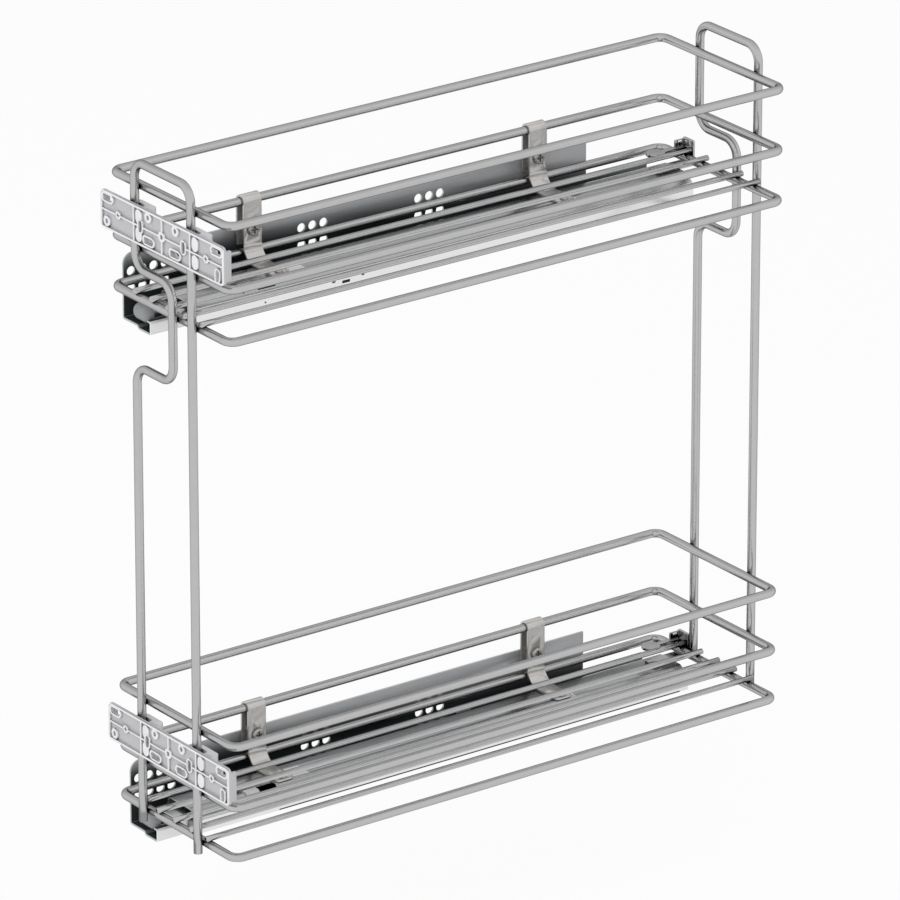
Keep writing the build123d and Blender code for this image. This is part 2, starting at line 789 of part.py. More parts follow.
def wire_clamp(ring_z):
    """Clamp behind the door bracket: its two blocks take the front frame's uprights."""
    base_z = ring_z + bracket_rise - clamp_drop
    mid_z = ring_z + bracket_rise + bracket_height / 2
    front = front_y - bracket_front + bracket_t
    back = front_y + clamp_back
    wire_slot_width = wire_d + 2 * clamp_wire_gap
    bar_top_drop = mid_z - base_z - clamp_bar_height
    with BuildPart() as clamp:
        with BuildSketch(section_plane(front, mid_z - bar_top_drop)):
            with Locations((bracket_x, 0)):
                bar_size = (2 * clamp_bar_half_length, clamp_bar_height)
                Rectangle(*bar_size, align=(Align.CENTER, Align.MAX))
        extrude(amount=-clamp_bar_t)
        with BuildSketch(section_plane(front, mid_z)):
            with Locations((bracket_x, 0)):
                with Locations((-inner_slot_run, -low_row_drop), (inner_slot_run, -low_row_drop)):
                    window = 2 * clamp_window_gap
                    SlotOverall(slot_length + window, slot_width + window)
                Circle(boss_hole_d / 2 + clamp_window_gap)
        extrude(amount=-clamp_bar_t, mode=Mode.SUBTRACT)
        for upright_x in (left_upright_x, right_upright_x):
            with BuildSketch(Plane.XY.offset(base_z)):
                with Locations((upright_x - clamp_block_side, front)):
                    block_size = (clamp_block_side + clamp_block_reach, back - front)
                    Rectangle(*block_size, align=(Align.MIN, Align.MIN))
            extrude(amount=clamp_block_height)
        corners = clamp.edges().filter_by(Axis.Z).group_by(Axis.Y)[-1]
        fillet(corners, clamp_corner_r)
        for upright_x in (left_upright_x, right_upright_x):
            with BuildSketch(Plane.XY.offset(base_z)):
                with Locations((upright_x + clamp_slot_run / 2, front_frame_y)):
                    SlotOverall(wire_slot_width + clamp_slot_run, wire_slot_width)
            extrude(amount=clamp_block_height, mode=Mode.SUBTRACT)
        with BuildSketch(section_plane(back, base_z + clamp_bar_height / 2)):
            with Locations((left_upright_x, 0), (right_upright_x, 0)):
                Circle(grub_d / 2 + hole_clearance)
        extrude(amount=back - front_frame_y, mode=Mode.SUBTRACT)
        with BuildSketch(section_plane(front, mid_z)):
            with Locations((bracket_x, 0)):
                with GridLocations(2 * bracket_screw_run, 0, 2, 1):
                    Circle(bracket_screw_d / 2 + hole_clearance)
        extrude(amount=-clamp_bar_t, mode=Mode.SUBTRACT)
    return clamp.part


def grub_screws(ring_z):
    """Hexagon socket grub screws that press the uprights forward in the clamp."""
    screw_z = ring_z + bracket_rise - clamp_drop + clamp_bar_height / 2
    tip_y = front_frame_y + wire_d / 2 + seat_gap
    end_y = front_y + clamp_back - grub_end_inset
    with BuildPart() as grubs:
        with BuildSketch(section_plane(tip_y, screw_z)):
            with Locations((left_upright_x, 0), (right_upright_x, 0)):
                Circle(grub_d / 2)
        extrude(amount=tip_y - end_y)
        with BuildSketch(section_plane(end_y, screw_z)):
            with Locations((left_upright_x, 0), (right_upright_x, 0)):
                RegularPolygon(grub_socket_af / 2, 6, major_radius=False)
        extrude(amount=grub_socket_depth, mode=Mode.SUBTRACT)
    return grubs.part


def bracket_screws(ring_z):
    """Screws that hold the door bracket on the clamp, sunk below the bracket's ribs."""
    mid_z = ring_z + bracket_rise + bracket_height / 2
    seat_y = front_y - bracket_front + bracket_pocket
    tip_y = front_y - bracket_front + bracket_t + clamp_bar_t + bracket_screw_tip
    with BuildPart() as screws:
        with BuildSketch(section_plane(seat_y, mid_z)):
            with Locations((bracket_x, 0)):
                with GridLocations(2 * bracket_screw_run, 0, 2, 1):
                    Circle(bracket_screw_head_d / 2)
        extrude(amount=bracket_screw_head_h)
        with BuildSketch(section_plane(seat_y, mid_z)):
            with Locations((bracket_x, 0)):
                with GridLocations(2 * bracket_screw_run, 0, 2, 1):
                    Circle(bracket_screw_d / 2)
        extrude(amount=seat_y - tip_y)
        with BuildSketch(section_plane(seat_y - bracket_screw_head_h, mid_z)):
            with Locations((bracket_x, 0)):
                with GridLocations(2 * bracket_screw_run, 0, 2, 1):
                    Rectangle(*cross_recess)
                    Rectangle(*reversed(cross_recess))
        extrude(amount=-cross_recess_depth, mode=Mode.SUBTRACT)
    return screws.part


def save(part, name):
    part.label = name
    export_step(part, f"parts/{name}.step")


# Write every piece
save(wire_frame(front_frame_y, front_foot_drop), "front_frame")
save(wire_frame(rear_frame_y, rear_foot_drop), "rear_frame")

race_span = (roller_count - 1) * roller_pitch
outer_race = ((plate_end_x + web_x) / 2 - slide_t / 2, rail_floor_top + roller_play + roller_d / 2)
inner_race = ((web_x + leg_x) / 2, -basket_rail_drop - slide_t - roller_play - roller_d / 2)
outer_first_y = middle_rail_y + (middle_rail_length - race_span) / 2
inner_first_y = outer_first_y

for tier, level in ring_levels.items():
    save(basket_ring(level), f"{tier}_bottom_ring")
    save(basket_ring(level + middle_ring_rise), f"{tier}_middle_ring")
    save(basket_ring(level + top_ring_rise), f"{tier}_top_ring")
    save(floor_wires(level), f"{tier}_floor_wires")
    save(cabinet_rail(level), f"{tier}_cabinet_rail")
    save(middle_rail(level), f"{tier}_middle_rail")
    save(basket_rail(level), f"{tier}_basket_rail")
    save(rail_nose(level), f"{tier}_middle_rail_nose")
    save(basket_rail_cap(level), f"{tier}_basket_rail_cap")
    save(roller_group(level, *outer_race, outer_first_y), f"{tier}_outer_rollers")
    save(roller_cage(level, *outer_race, outer_first_y), f"{tier}_outer_cage")
    save(roller_group(level, *inner_race, inner_first_y), f"{tier}_inner_rollers")
    save(roller_cage(level, *inner_race, inner_first_y), f"{tier}_inner_cage")
    save(damper_housing(level), f"{tier}_damper_housing")
    save(damper_cylinder(level), f"{tier}_damper_cylinder")
    save(damper_rod(level), f"{tier}_damper_rod")
    save(damper_catch(level), f"{tier}_damper_catch")
    save(driver_pin(level), f"{tier}_driver_pin")
    save(front_latch(level), f"{tier}_front_latch")
    save(strap(level, strap_places[0]), f"{tier}_front_strap")
    save(strap(level, strap_places[1]), f"{tier}_rear_strap")
    save(strap_screws(level), f"{tier}_strap_screws")
    save(foot_rivets(level), f"{tier}_foot_rivets")
    save(rear_hook(level), f"{tier}_rear_hook")
    save(hook_arm(level), f"{tier}_hook_arm")
    save(door_bracket(level), f"{tier}_door_bracket")
    save(wire_clamp(level), f"{tier}_wire_clamp")
    save(grub_screws(level), f"{tier}_grub_screws")
    save(bracket_screws(level), f"{tier}_bracket_screws")
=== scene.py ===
import json
import math

import bpy
from mathutils import Matrix, Vector

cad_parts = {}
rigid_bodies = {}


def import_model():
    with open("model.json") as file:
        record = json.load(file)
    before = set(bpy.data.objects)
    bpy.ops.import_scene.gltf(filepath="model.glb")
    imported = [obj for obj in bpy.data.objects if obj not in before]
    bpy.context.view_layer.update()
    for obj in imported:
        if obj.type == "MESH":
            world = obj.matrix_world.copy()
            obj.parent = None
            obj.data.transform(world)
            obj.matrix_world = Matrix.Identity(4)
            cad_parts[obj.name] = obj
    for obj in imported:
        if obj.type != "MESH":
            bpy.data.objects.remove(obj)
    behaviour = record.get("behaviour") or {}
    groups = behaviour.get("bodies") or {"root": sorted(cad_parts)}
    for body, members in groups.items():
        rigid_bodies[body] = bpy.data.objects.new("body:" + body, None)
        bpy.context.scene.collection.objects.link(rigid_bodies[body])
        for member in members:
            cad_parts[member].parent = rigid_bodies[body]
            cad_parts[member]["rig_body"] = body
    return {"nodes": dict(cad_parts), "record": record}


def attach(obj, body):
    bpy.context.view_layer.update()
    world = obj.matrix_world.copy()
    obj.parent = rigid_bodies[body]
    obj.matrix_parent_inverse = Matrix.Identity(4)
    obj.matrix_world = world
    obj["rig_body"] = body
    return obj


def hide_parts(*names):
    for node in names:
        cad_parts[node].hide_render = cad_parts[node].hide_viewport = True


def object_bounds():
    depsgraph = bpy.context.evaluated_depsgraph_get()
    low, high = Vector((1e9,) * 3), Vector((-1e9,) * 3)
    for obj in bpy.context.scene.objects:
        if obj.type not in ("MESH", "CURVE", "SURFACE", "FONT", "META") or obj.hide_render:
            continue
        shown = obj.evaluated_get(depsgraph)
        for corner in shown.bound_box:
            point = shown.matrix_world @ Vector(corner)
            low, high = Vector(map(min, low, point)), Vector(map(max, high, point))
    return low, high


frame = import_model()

cad_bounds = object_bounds()
mm = 0.001
x_axis, y_axis, z_axis = range(3)
tiers = ("lower", "upper")
white = (1, 1, 1, 1)

# Camera at the photograph's viewing angle
photo_side = 900
sensor_width = 36.0
camera_azimuth = math.radians(53.819)
camera_elevation = math.radians(21.840)
camera_distance = 5.9039
camera_reach = 100
focal_pixels = 8826.6
aim_point = Vector((0.076, 0.1885, 0.220))
aim_offset = (-0.00126, -0.00691)

# Studio
floor_drop = 0.16
floor_side = 9.0
floor_tone = 0.92
floor_roughness = 0.9
floor_glow = 0.9
ambient_strength = 0.62
backdrop_strength = 1.0
key_light = {"place": (2.6, -2.0, 3.0), "side": 4.0, "power": 90}
fill_light = {"place": (-1.8, -2.6, 1.4), "side": 3.0, "power": 22}

# Finishing of the meshes
merge_distance = 0.002 * mm
flat_angle = math.radians(0.5)
smooth_angle = math.radians(32)
bevel_angle = math.radians(38)
bevel_segments = 2
sheet_bevel = 0.25 * mm
small_bevel = 0.2 * mm
cast_bevel = 0.3 * mm
wire_cut_spacing = 24 * mm

# Effects that the materials share
noise_mean = 0.5
tone_noise = {"Detail": 5.0, "Roughness": 0.6}
grain_noise = {"Detail": 3.0}
grain_height = 0.1 * mm
roughness_spread = 0.1
edge_shading_width = 0.6 * mm
edge_shading_samples = 4
edge_shading_gain = 4.0
# Painted shade in narrow gaps and inner corners
crevice_samples = 6
crevice_start = 0.35
crevice_full = 0.8
facing_start = 0.45
facing_full = 0.95
patch_edge = 0.2 * mm

# Painted shade in the cabinet rails' channel, with heights from the first fixing hole of each rail
tier_pitch = 0.364
tier_top = 0.1
channel_light_z = 0.008
channel_dark_z = -0.012
channel_lip_x = 0.0318
channel_tilt = 0.05
channel_middle_y = 0.22

# Planes of the door brackets' rib faces and of the pocket floors behind them
rib_face_y = -0.0494
pocket_floor_y = -0.0488

# Painted light and shade on the basket rail, as grey boxes: low corner, high corner and grey
# value, with heights from the first fixing hole of each tier's cabinet rail. Most lie on the side
# of the basket rail that faces away from the wall.
side_low = 0.0542
side_high = 0.0558
rail_painted_patches = (
    ((0.031, 0.070, -0.0095), (0.046, 0.092, -0.0085), 0.66),
    ((0.038, 0.301, -0.0095), (0.0545, 0.316, -0.0085), 0.66),
    ((side_low, 0.262, -0.0141), (side_high, 0.294, -0.0099), 0.80),
    ((side_low, 0.2516, -0.0164), (side_high, 0.2618, -0.0120), 0.10),
    ((side_low, 0.0345, -0.0157), (side_high, 0.0530, -0.0127), 0.01),
    ((side_low, 0.0536, -0.0157), (side_high, 0.0570, -0.0122), 0.85),
    ((side_low, 0.0675, -0.0147), (side_high, 0.0715, -0.0125), 0.02),
    ((side_low, 0.1058, -0.0203), (side_high, 0.1088, -0.0190), 0.04),
    ((side_low, 0.1140, -0.0222), (side_high, 0.1205, -0.0200), 0.02),
    ((side_low, 0.1297, -0.0200), (side_high, 0.1322, -0.0188), 0.04),
    ((side_low, 0.1430, -0.0138), (side_high, 0.1487, -0.0120), 0.02),
    ((side_low, 0.0514, -0.0222), (side_high, 0.0528, -0.0208), 0.02),
    ((side_low, 0.0600, -0.0256), (side_high, 0.4000, -0.0240), 0.02),
)
# Painted highlight on the cabinet rail's lip, and painted shade on the middle rail in the basket
# rail's window
lip_highlight = (((0.0312, -0.03, -0.04), (0.0335, 0.42, 0.02), 0.78),)
window_shade = (((0.038, 0.030, -0.04), (0.0535, 0.070, -0.001), 0.004),)


def grey(value):
    return (value, value, value)


def node_maker(tree):
    """A short way to add a node of a kind, with the values of its inputs and its other fields."""
    def add(kind, values=None, **fields):
        node = tree.nodes.new(kind)
        for name, value in fields.items():
            setattr(node, name, value)
        for socket, value in (values or {}).items():
            node.inputs[socket].default_value = value
        return node
    return add


# Camera and studio
def add_camera():
    back = Vector((
        math.sin(camera_azimuth) * math.cos(camera_elevation),
        -math.cos(camera_azimuth) * math.cos(camera_elevation),
        math.sin(camera_elevation),
    ))
    right = Vector((math.cos(camera_azimuth), math.sin(camera_azimuth), 0))
    up = back.cross(right)
    data = bpy.data.cameras.new("camera")
    data.sensor_width = sensor_width
    data.lens = focal_pixels / photo_side * sensor_width
    data.clip_end = camera_reach
    camera = bpy.data.objects.new("camera", data)
    bpy.context.scene.collection.objects.link(camera)
    place = aim_point + right * aim_offset[0] + up * aim_offset[1] + back * camera_distance
    turn = Matrix((right, up, back)).transposed().to_4x4()
    camera.matrix_world = Matrix.Translation(place) @ turn
    bpy.context.scene.camera = camera


def seen_directly(add, link):
    """1 for rays from the camera, a mirror or a glass, 0 for the light that falls on things."""
    path = add("ShaderNodeLightPath")
    seen = path.outputs["Is Camera Ray"]
    for ray in ("Is Glossy Ray", "Is Transmission Ray"):
        either = add("ShaderNodeMath", operation="MAXIMUM")
        link(seen, either.inputs[0])
        link(path.outputs[ray], either.inputs[1])
        seen = either.outputs[0]
    return seen


def mix_shaders(add, link, share, first, second, end):
    """Ends a tree in a mix of two shaders, where share is the second one's."""
    mix = add("ShaderNodeMixShader")
    link(share, mix.inputs["Fac"])
    link(first.outputs[0], mix.inputs[1])
    link(second.outputs[0], mix.inputs[2])
    link(mix.outputs[0], end.inputs["Surface"])


def add_world():
    """White where the camera or a mirror sees it, and a weaker even light on things."""
    world = bpy.data.worlds.new("studio")
    bpy.context.scene.world = world
    world.use_nodes = True
    tree = world.node_tree
    tree.nodes.clear()
    add = node_maker(tree)
    link = tree.links.new
    ambient = add("ShaderNodeBackground", {"Color": white, "Strength": ambient_strength})
    backdrop = add("ShaderNodeBackground", {"Color": white, "Strength": backdrop_strength})
    end = add("ShaderNodeOutputWorld")
    mix_shaders(add, link, seen_directly(add, link), ambient, backdrop, end)


def add_lamp(name, place, side, power):
    """A large weak panel; mirrors show the white backdrop where it stands."""
    data = bpy.data.lights.new(name, "AREA")
    data.shape = "DISK"
    data.size = side
    data.energy = power
    lamp = bpy.data.objects.new(name, data)
    bpy.context.scene.collection.objects.link(lamp)
    lamp.location = place
    direction = aim_point - Vector(place)
    lamp.rotation_euler = direction.to_track_quat("-Z", "Y").to_euler()
    lamp.visible_glossy = False


def add_floor():
    """A pale floor that takes soft shadows and looks almost as white as the backdrop."""
    place = (aim_point.x, aim_point.y, cad_bounds[0][z_axis] - floor_drop)
    bpy.ops.mesh.primitive_plane_add(size=floor_side, location=place)
    floor = bpy.context.object
    floor.name = "studio_floor"
    material = bpy.data.materials.new("studio_floor")
    material.use_nodes = True
    tree = material.node_tree
    add = node_maker(tree)
    link = tree.links.new
    shader = tree.nodes["Principled BSDF"]
    shader.inputs["Base Color"].default_value = (*grey(floor_tone), 1)
    shader.inputs["Roughness"].default_value = floor_roughness
    glow = add("ShaderNodeEmission", {"Color": white, "Strength": backdrop_strength})
    share = add("ShaderNodeMath", {1: floor_glow}, operation="MULTIPLY")
    link(seen_directly(add, link), share.inputs[0])
    mix_shaders(add, link, share.outputs[0], shader, glow, tree.nodes["Material Output"])
    # The glow is for the camera and for mirrors, so it isn't sampled as a lamp
    material.cycles.emission_sampling = "NONE"
    floor.data.materials.append(material)


# Effects of the materials
def new_group(name, inputs, outputs):
    """A node group with its sockets, the ways to add and link its nodes, and its two ends."""
    group = bpy.data.node_groups.new(name, "ShaderNodeTree")
    for in_out, sockets in (("INPUT", inputs), ("OUTPUT", outputs)):
        for label, kind in sockets.items():
            kind = f"NodeSocket{kind}"
            group.interface.new_socket(name=label, in_out=in_out, socket_type=kind)
    entry = group.nodes.new("NodeGroupInput")
    leave = group.nodes.new("NodeGroupOutput")
    return group, node_maker(group), group.links.new, entry, leave


def stretched_noise(add, link, entry, values):
    """Noise over a stretched surface, and the same noise less its mean."""
    place = add("ShaderNodeTexCoord")
    mapping = add("ShaderNodeMapping")
    noise = add("ShaderNodeTexNoise", values)
    swing = add("ShaderNodeMath", {1: noise_mean}, operation="SUBTRACT")
    link(place.outputs["Object"], mapping.inputs["Vector"])
    link(entry.outputs["Stretch"], mapping.inputs["Scale"])
    link(mapping.outputs[0], noise.inputs["Vector"])
    link(entry.outputs["Scale"], noise.inputs["Scale"])
    link(noise.outputs["Fac"], swing.inputs[0])
    return noise.outputs["Fac"], swing.outputs[0]


def height_in_tier(add, link, height):
    """The height that the same place has in the lower tier."""
    limits = {1: tier_top, 2: tier_top - tier_pitch}
    wrapped = add("ShaderNodeMath", limits, operation="WRAP")
    link(height, wrapped.inputs[0])
    return wrapped.outputs[0]


def make_tone_group():
    """Slow and fine variation of a colour over a plated or cast surface."""
    inputs = {"Color": "Color", "Stretch": "Vector", "Scale": "Float", "Amount": "Float"}
    group, add, link, entry, leave = new_group("tone_variation", inputs, {"Color": "Color"})
    swing = stretched_noise(add, link, entry, tone_noise)[1]
    factor = add("ShaderNodeMath", {2: 1.0}, operation="MULTIPLY_ADD")
    shade = add("ShaderNodeVectorMath", operation="SCALE")
    link(swing, factor.inputs[0])
    link(entry.outputs["Amount"], factor.inputs[1])
    link(entry.outputs["Color"], shade.inputs[0])
    link(factor.outputs[0], shade.inputs["Scale"])
    link(shade.outputs[0], leave.inputs["Color"])
    return group


def make_grain_group():
    """Fine grain or drawing lines: a height for a Bump node and a roughness that follows it."""
    inputs = {"Stretch": "Vector", "Scale": "Float", "Roughness": "Float", "Spread": "Float"}
    outputs = {"Height": "Float", "Roughness": "Float"}
    group, add, link, entry, leave = new_group("surface_grain", inputs, outputs)
    noise, swing = stretched_noise(add, link, entry, grain_noise)
    roughness = add("ShaderNodeMath", operation="MULTIPLY_ADD")
    link(swing, roughness.inputs[0])
    link(entry.outputs["Spread"], roughness.inputs[1])
    link(entry.outputs["Roughness"], roughness.inputs[2])
    link(noise, leave.inputs["Height"])
    link(roughness.outputs[0], leave.inputs["Roughness"])
    return group


def make_edge_group():
    """Mask of the outside edges, where the colour paints a highlight or a shade along them."""
    inputs = {"Width": "Float", "Amount": "Float"}
    group, add, link, entry, leave = new_group("painted_edge_shading", inputs, {"Mask": "Float"})
    rounded = add("ShaderNodeBevel", samples=edge_shading_samples)
    shape = add("ShaderNodeNewGeometry")
    alike = add("ShaderNodeVectorMath", operation="DOT_PRODUCT")
    turned = add("ShaderNodeMath", {0: 1.0}, operation="SUBTRACT")
    gain = add("ShaderNodeMath", {1: edge_shading_gain}, operation="MULTIPLY", use_clamp=True)
    amount = add("ShaderNodeMath", operation="MULTIPLY")
    link(entry.outputs["Width"], rounded.inputs["Radius"])
    link(rounded.outputs[0], alike.inputs[0])
    link(shape.outputs["Normal"], alike.inputs[1])
    link(alike.outputs["Value"], turned.inputs[1])
    link(turned.outputs[0], gain.inputs[0])
    link(gain.outputs[0], amount.inputs[0])
    link(entry.outputs["Amount"], amount.inputs[1])
    link(amount.outputs[0], leave.inputs["Mask"])
    return group


def make_crevice_shade_group():
    """Mask of the narrow gaps and inner corners, for painted shade where they shut out light."""
    inputs = {"Distance": "Float", "Amount": "Float"}
    group, add, link, entry, leave = new_group("painted_crevice_shade", inputs, {"Mask": "Float"})
    open_share = add("ShaderNodeAmbientOcclusion", samples=crevice_samples)
    closed = add("ShaderNodeMath", {0: 1.0}, operation="SUBTRACT", use_clamp=True)
    # A faceted wire closes a little of its own view, so the mask starts above that
    limits = {"From Min": crevice_start, "From Max": crevice_full}
    steep = add("ShaderNodeMapRange", limits, interpolation_type="SMOOTHSTEP")
    amount = add("ShaderNodeMath", operation="MULTIPLY", use_clamp=True)
    link(entry.outputs["Distance"], open_share.inputs["Distance"])
    link(open_share.outputs["AO"], closed.inputs[1])
    link(closed.outputs[0], steep.inputs["Value"])
    link(steep.outputs[0], amount.inputs[0])
    link(entry.outputs["Amount"], amount.inputs[1])
    link(amount.outputs[0], leave.inputs["Mask"])
    return group


def make_channel_group():
    """Mask of the painted shade inside a cabinet rail: its wall below the hole row, and its floor.
    """
    group, add, link, _, leave = new_group("painted_channel_shade", {}, {"Mask": "Float"})
    place = add("ShaderNodeTexCoord")
    point = add("ShaderNodeSeparateXYZ")
    normal = add("ShaderNodeSeparateXYZ")
    link(place.outputs["Object"], point.inputs[0])
    link(place.outputs["Normal"], normal.inputs[0])
    # The painted shade's edge climbs slightly towards the front
    along = add("ShaderNodeMath", {1: channel_middle_y}, operation="SUBTRACT")
    tilted = add("ShaderNodeMath", {1: channel_tilt}, operation="MULTIPLY_ADD")
    limits = {"From Min": channel_light_z, "From Max": channel_dark_z}
    low = add("ShaderNodeMapRange", limits, interpolation_type="SMOOTHSTEP")
    link(point.outputs["Y"], along.inputs[0])
    link(along.outputs[0], tilted.inputs[0])
    link(height_in_tier(add, link, point.outputs["Z"]), tilted.inputs[2])
    link(tilted.outputs[0], low.inputs["Value"])
    inward = add("ShaderNodeMath", operation="MAXIMUM", use_clamp=True)
    before_lip = add("ShaderNodeMath", {1: channel_lip_x}, operation="LESS_THAN")
    within = add("ShaderNodeMath", operation="MULTIPLY")
    mask = add("ShaderNodeMath", operation="MULTIPLY")
    link(normal.outputs["X"], inward.inputs[0])
    link(normal.outputs["Z"], inward.inputs[1])
    link(point.outputs["X"], before_lip.inputs[0])
    link(inward.outputs[0], within.inputs[0])
    link(before_lip.outputs[0], within.inputs[1])
    link(low.outputs[0], mask.inputs[0])
    link(within.outputs[0], mask.inputs[1])
    link(mask.outputs[0], leave.inputs["Mask"])
    return group


def make_box_group():
    """Mask of a box in the object's own frame, the same box in both tiers."""
    inputs = {"Low": "Vector", "High": "Vector"}
    group, add, link, entry, leave = new_group("box_mask", inputs, {"Mask": "Float"})
    place = add("ShaderNodeTexCoord")
    apart = add("ShaderNodeSeparateXYZ")
    point = add("ShaderNodeCombineXYZ")
    above = add("ShaderNodeVectorMath", operation="SUBTRACT")
    below = add("ShaderNodeVectorMath", operation="SUBTRACT")
    inside = add("ShaderNodeVectorMath", operation="MINIMUM")
    depth = add("ShaderNodeSeparateXYZ")
    least_level = add("ShaderNodeMath", operation="MINIMUM")
    least = add("ShaderNodeMath", operation="MINIMUM")
    edge = add("ShaderNodeMapRange", {"From Max": patch_edge})
    link(place.outputs["Object"], apart.inputs[0])
    link(apart.outputs["X"], point.inputs[0])
    link(apart.outputs["Y"], point.inputs[1])
    link(height_in_tier(add, link, apart.outputs["Z"]), point.inputs[2])
    link(point.outputs[0], above.inputs[0])
    link(entry.outputs["Low"], above.inputs[1])
    link(entry.outputs["High"], below.inputs[0])
    link(point.outputs[0], below.inputs[1])
    link(above.outputs[0], inside.inputs[0])
    link(below.outputs[0], inside.inputs[1])
    link(inside.outputs[0], depth.inputs[0])
    link(depth.outputs["X"], least_level.inputs[0])
    link(depth.outputs["Y"], least_level.inputs[1])
    link(least_level.outputs[0], least.inputs[0])
    link(depth.outputs["Z"], least.inputs[1])
    link(least.outputs[0], edge.inputs["Value"])
    link(edge.outputs[0], leave.inputs["Mask"])
    return group


def make_facing_group():
    """Mask of the surfaces that face one way, for painted light and shade on them."""
    inputs = {"Direction": "Vector"}
    group, add, link, entry, leave = new_group("painted_facing_mask", inputs, {"Mask": "Float"})
    place = add("ShaderNodeTexCoord")
    alike = add("ShaderNodeVectorMath", operation="DOT_PRODUCT")
    limits = {"From Min": facing_start, "From Max": facing_full}
    steep = add("ShaderNodeMapRange", limits, interpolation_type="SMOOTHSTEP")
    link(place.outputs["Normal"], alike.inputs[0])
    link(entry.outputs["Direction"], alike.inputs[1])
    link(alike.outputs["Value"], steep.inputs["Value"])
    link(steep.outputs[0], leave.inputs["Mask"])
    return group


def make_pocket_group():
    """Mask of the door bracket's pockets, whose floors get painted shade."""
    group, add, link, _, leave = new_group("painted_pocket_shade", {}, {"Mask": "Float"})
    place = add("ShaderNodeTexCoord")
    point = add("ShaderNodeSeparateXYZ")
    limits = {"From Min": rib_face_y, "From Max": pocket_floor_y}
    depth = add("ShaderNodeMapRange", limits, interpolation_type="SMOOTHSTEP")
    link(place.outputs["Object"], point.inputs[0])
    link(point.outputs["Y"], depth.inputs["Value"])
    link(depth.outputs[0], leave.inputs["Mask"])
    return group


groups = {
    "box": make_box_group(),
    "facing": make_facing_group(),
    "pocket": make_pocket_group(),
    "tone": make_tone_group(),
    "grain": make_grain_group(),
    "edge": make_edge_group(),
    "painted_crevice_shade": make_crevice_shade_group(),
    "channel": make_channel_group(),
}


# Materials
even = (1, 1, 1)
drawn_along_y = (1, 0.03, 1)
upwards = (0, 0, 1)
off_the_wall = (1, 0, 0)


def finish_material(
    name, color, roughness, metallic, grazing_tint=1.0,
    grain_scale=900.0, grain_stretch=even, grain_bump=0.1,
    tone=0.1, tone_scale=45.0, tone_stretch=even,
    facing=None, painted_facing_color=None, painted_patches=(), channel_shade_color=None, pocket_shade_color=None,
    edge_color=None, edge_amount=0.0,
    crevice_shade_color=(0.02, 0.02, 0.022), crevice_amount=0.8, crevice_reach=0.003,
):
    """A finish with slow tone, fine grain, painted light and shade along its edges and painted
    shade in its narrow gaps.
    """
    material = bpy.data.materials.new(name)
    material.use_nodes = True
    tree = material.node_tree
    add = node_maker(tree)
    link = tree.links.new
    shader = tree.nodes["Principled BSDF"]
    shader.inputs["Metallic"].default_value = metallic
    shader.inputs["Specular Tint"].default_value = (*grey(grazing_tint), 1)

    def effect(group, **values):
        return add("ShaderNodeGroup", values, node_tree=groups[group]).outputs

    def lay_over(mask, top_color, under):
        layer = add("ShaderNodeMix", {"B": (*top_color, 1)}, data_type="RGBA")
        link(mask["Mask"], layer.inputs["Factor"])
        link(under, layer.inputs["A"])
        return layer.outputs["Result"]

    grain = effect(
        "grain", Stretch=grain_stretch, Scale=grain_scale, Roughness=roughness,
        Spread=roughness_spread,
    )
    bump = add("ShaderNodeBump", {"Strength": grain_bump, "Distance": grain_height})
    link(grain["Height"], bump.inputs["Height"])
    link(bump.outputs[0], shader.inputs["Normal"])
    link(grain["Roughness"], shader.inputs["Roughness"])

    shades = effect(
        "tone", Color=(*color, 1), Stretch=tone_stretch, Scale=tone_scale, Amount=tone,
    )
    surface = shades["Color"]
    # Painted light and shade on the faces that look one way
    if facing:
        surface = lay_over(effect("facing", Direction=facing), painted_facing_color, surface)
    # Painted patches of light and shade
    for low, high, value in painted_patches:
        surface = lay_over(effect("box", Low=low, High=high), grey(value), surface)
    # Painted shade inside the cabinet rail's channel
    if channel_shade_color:
        surface = lay_over(effect("channel"), channel_shade_color, surface)
    # Painted shade on the door bracket's pocket floors
    if pocket_shade_color:
        surface = lay_over(effect("pocket"), pocket_shade_color, surface)
    # Painted highlight or painted shade along the outside edges
    if edge_color:
        edge_shading = effect("edge", Width=edge_shading_width, Amount=edge_amount)
        surface = lay_over(edge_shading, edge_color, surface)
    # Painted shade in the narrow gaps and inner corners
    closed = effect("painted_crevice_shade", Distance=crevice_reach, Amount=crevice_amount)
    surface = lay_over(closed, crevice_shade_color, surface)
    link(surface, shader.inputs["Base Color"])
    return material


